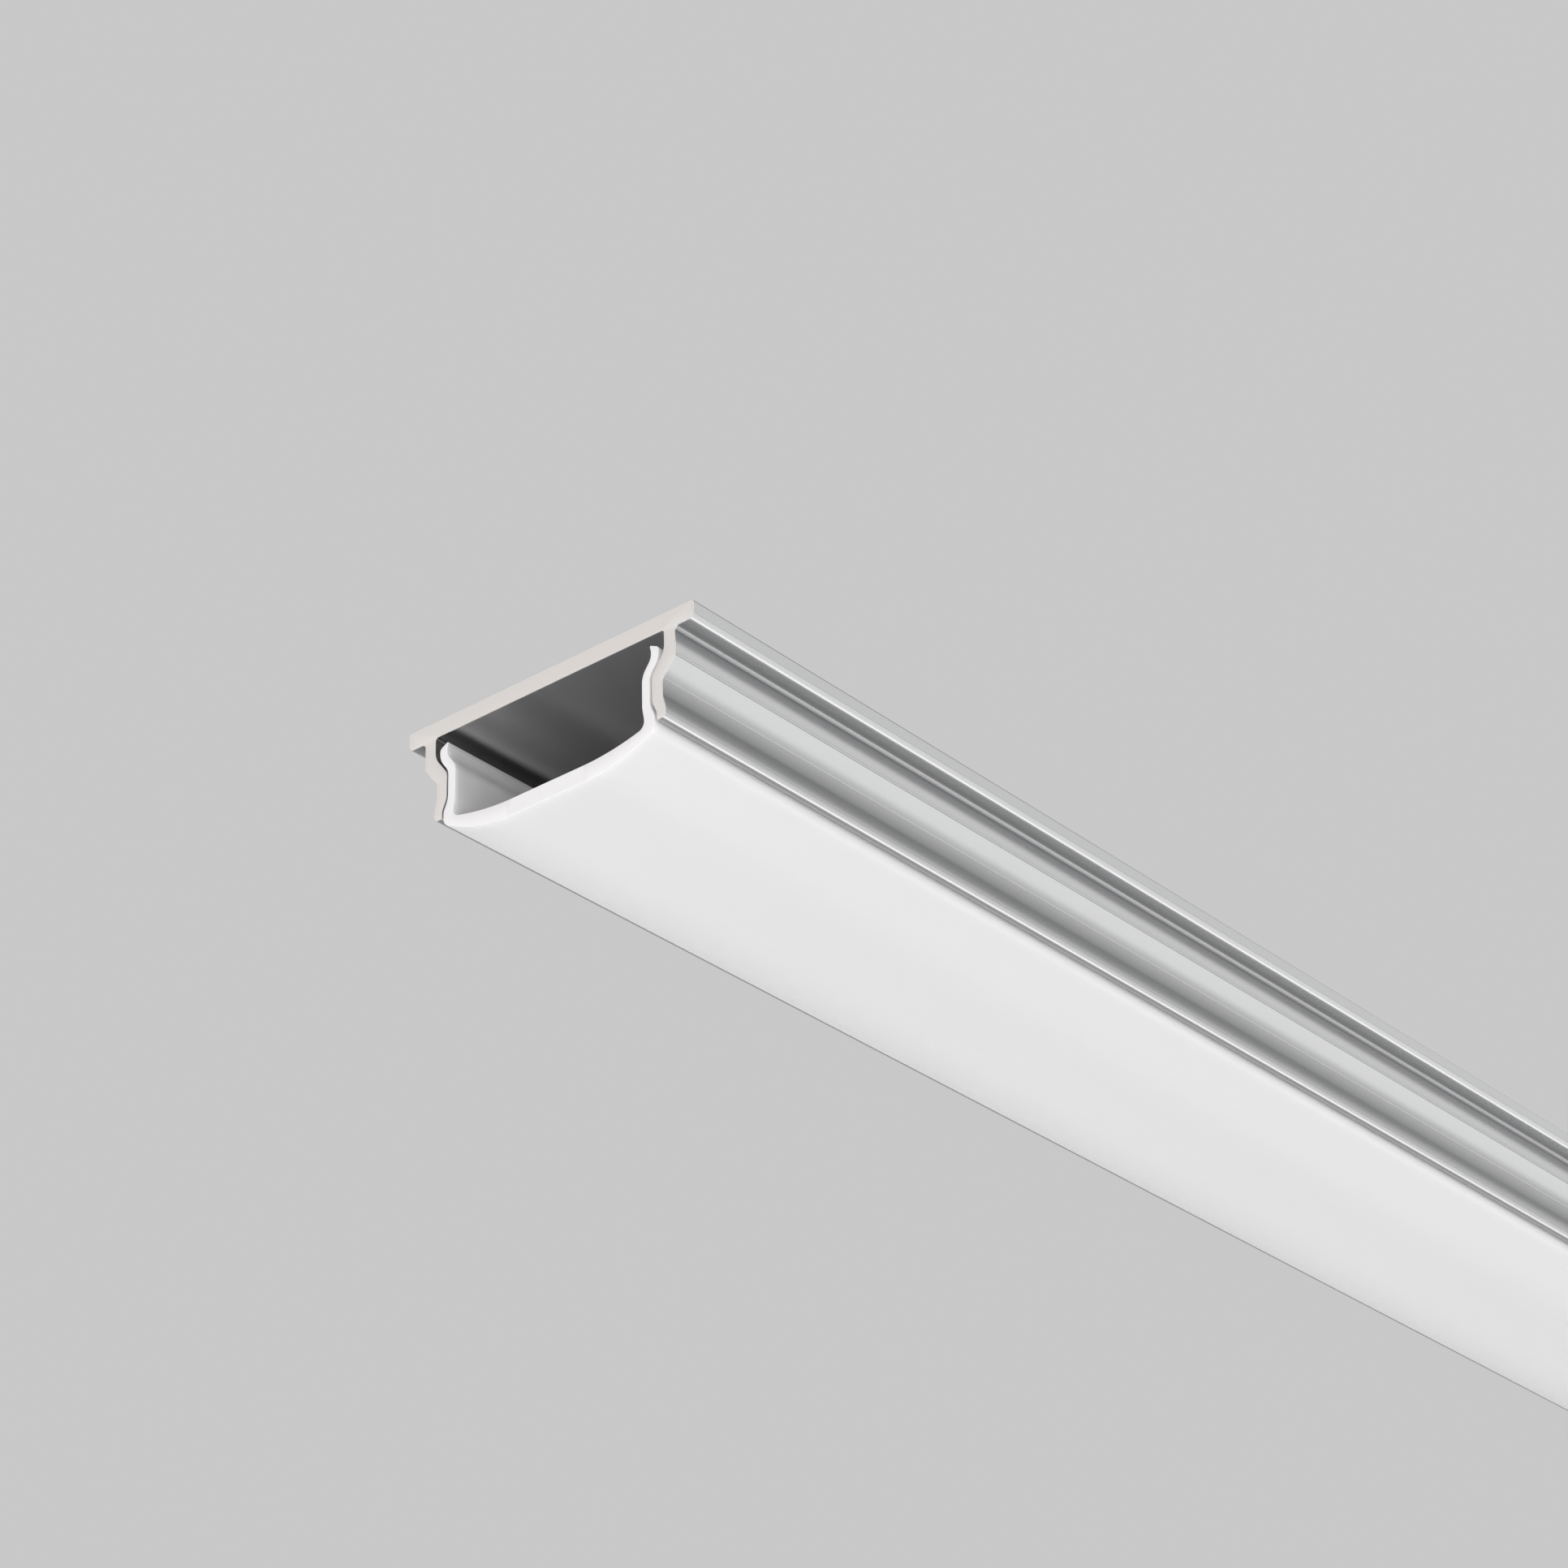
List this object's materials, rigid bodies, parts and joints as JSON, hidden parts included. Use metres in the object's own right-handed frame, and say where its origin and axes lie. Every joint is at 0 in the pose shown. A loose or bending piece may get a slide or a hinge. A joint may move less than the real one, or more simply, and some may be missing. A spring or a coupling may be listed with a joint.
{
  "type": "led strip profile",
  "caption": "Shallow aluminium channel with ears for an LED strip, fixed by its flat back and closed by a clip-in domed opal diffuser that slides out at the ends.",
  "frame": {"origin": "middle of the flat mounting face on the back of the channel", "axes": "+Z points out of the mounting face at the surface it is fixed to, so the diffuser faces -Z; X runs across the profile and Y along its length"},
  "size_m": [0.018, 0.5, 0.007],
  "materials": {
    "profile": "satin anodised",
    "diffuser": "opal white, satin"
  },
  "bodies": {
    "profile": {"profile": "profile"},
    "diffuser": {"diffuser": "diffuser"}
  },
  "joints": [
    {"name": "diffuser_slide", "type": "slide", "parent": "profile", "child": "diffuser", "axis": [0, 1, 0], "range_m": [-0.5, 0.5]}
  ]
}
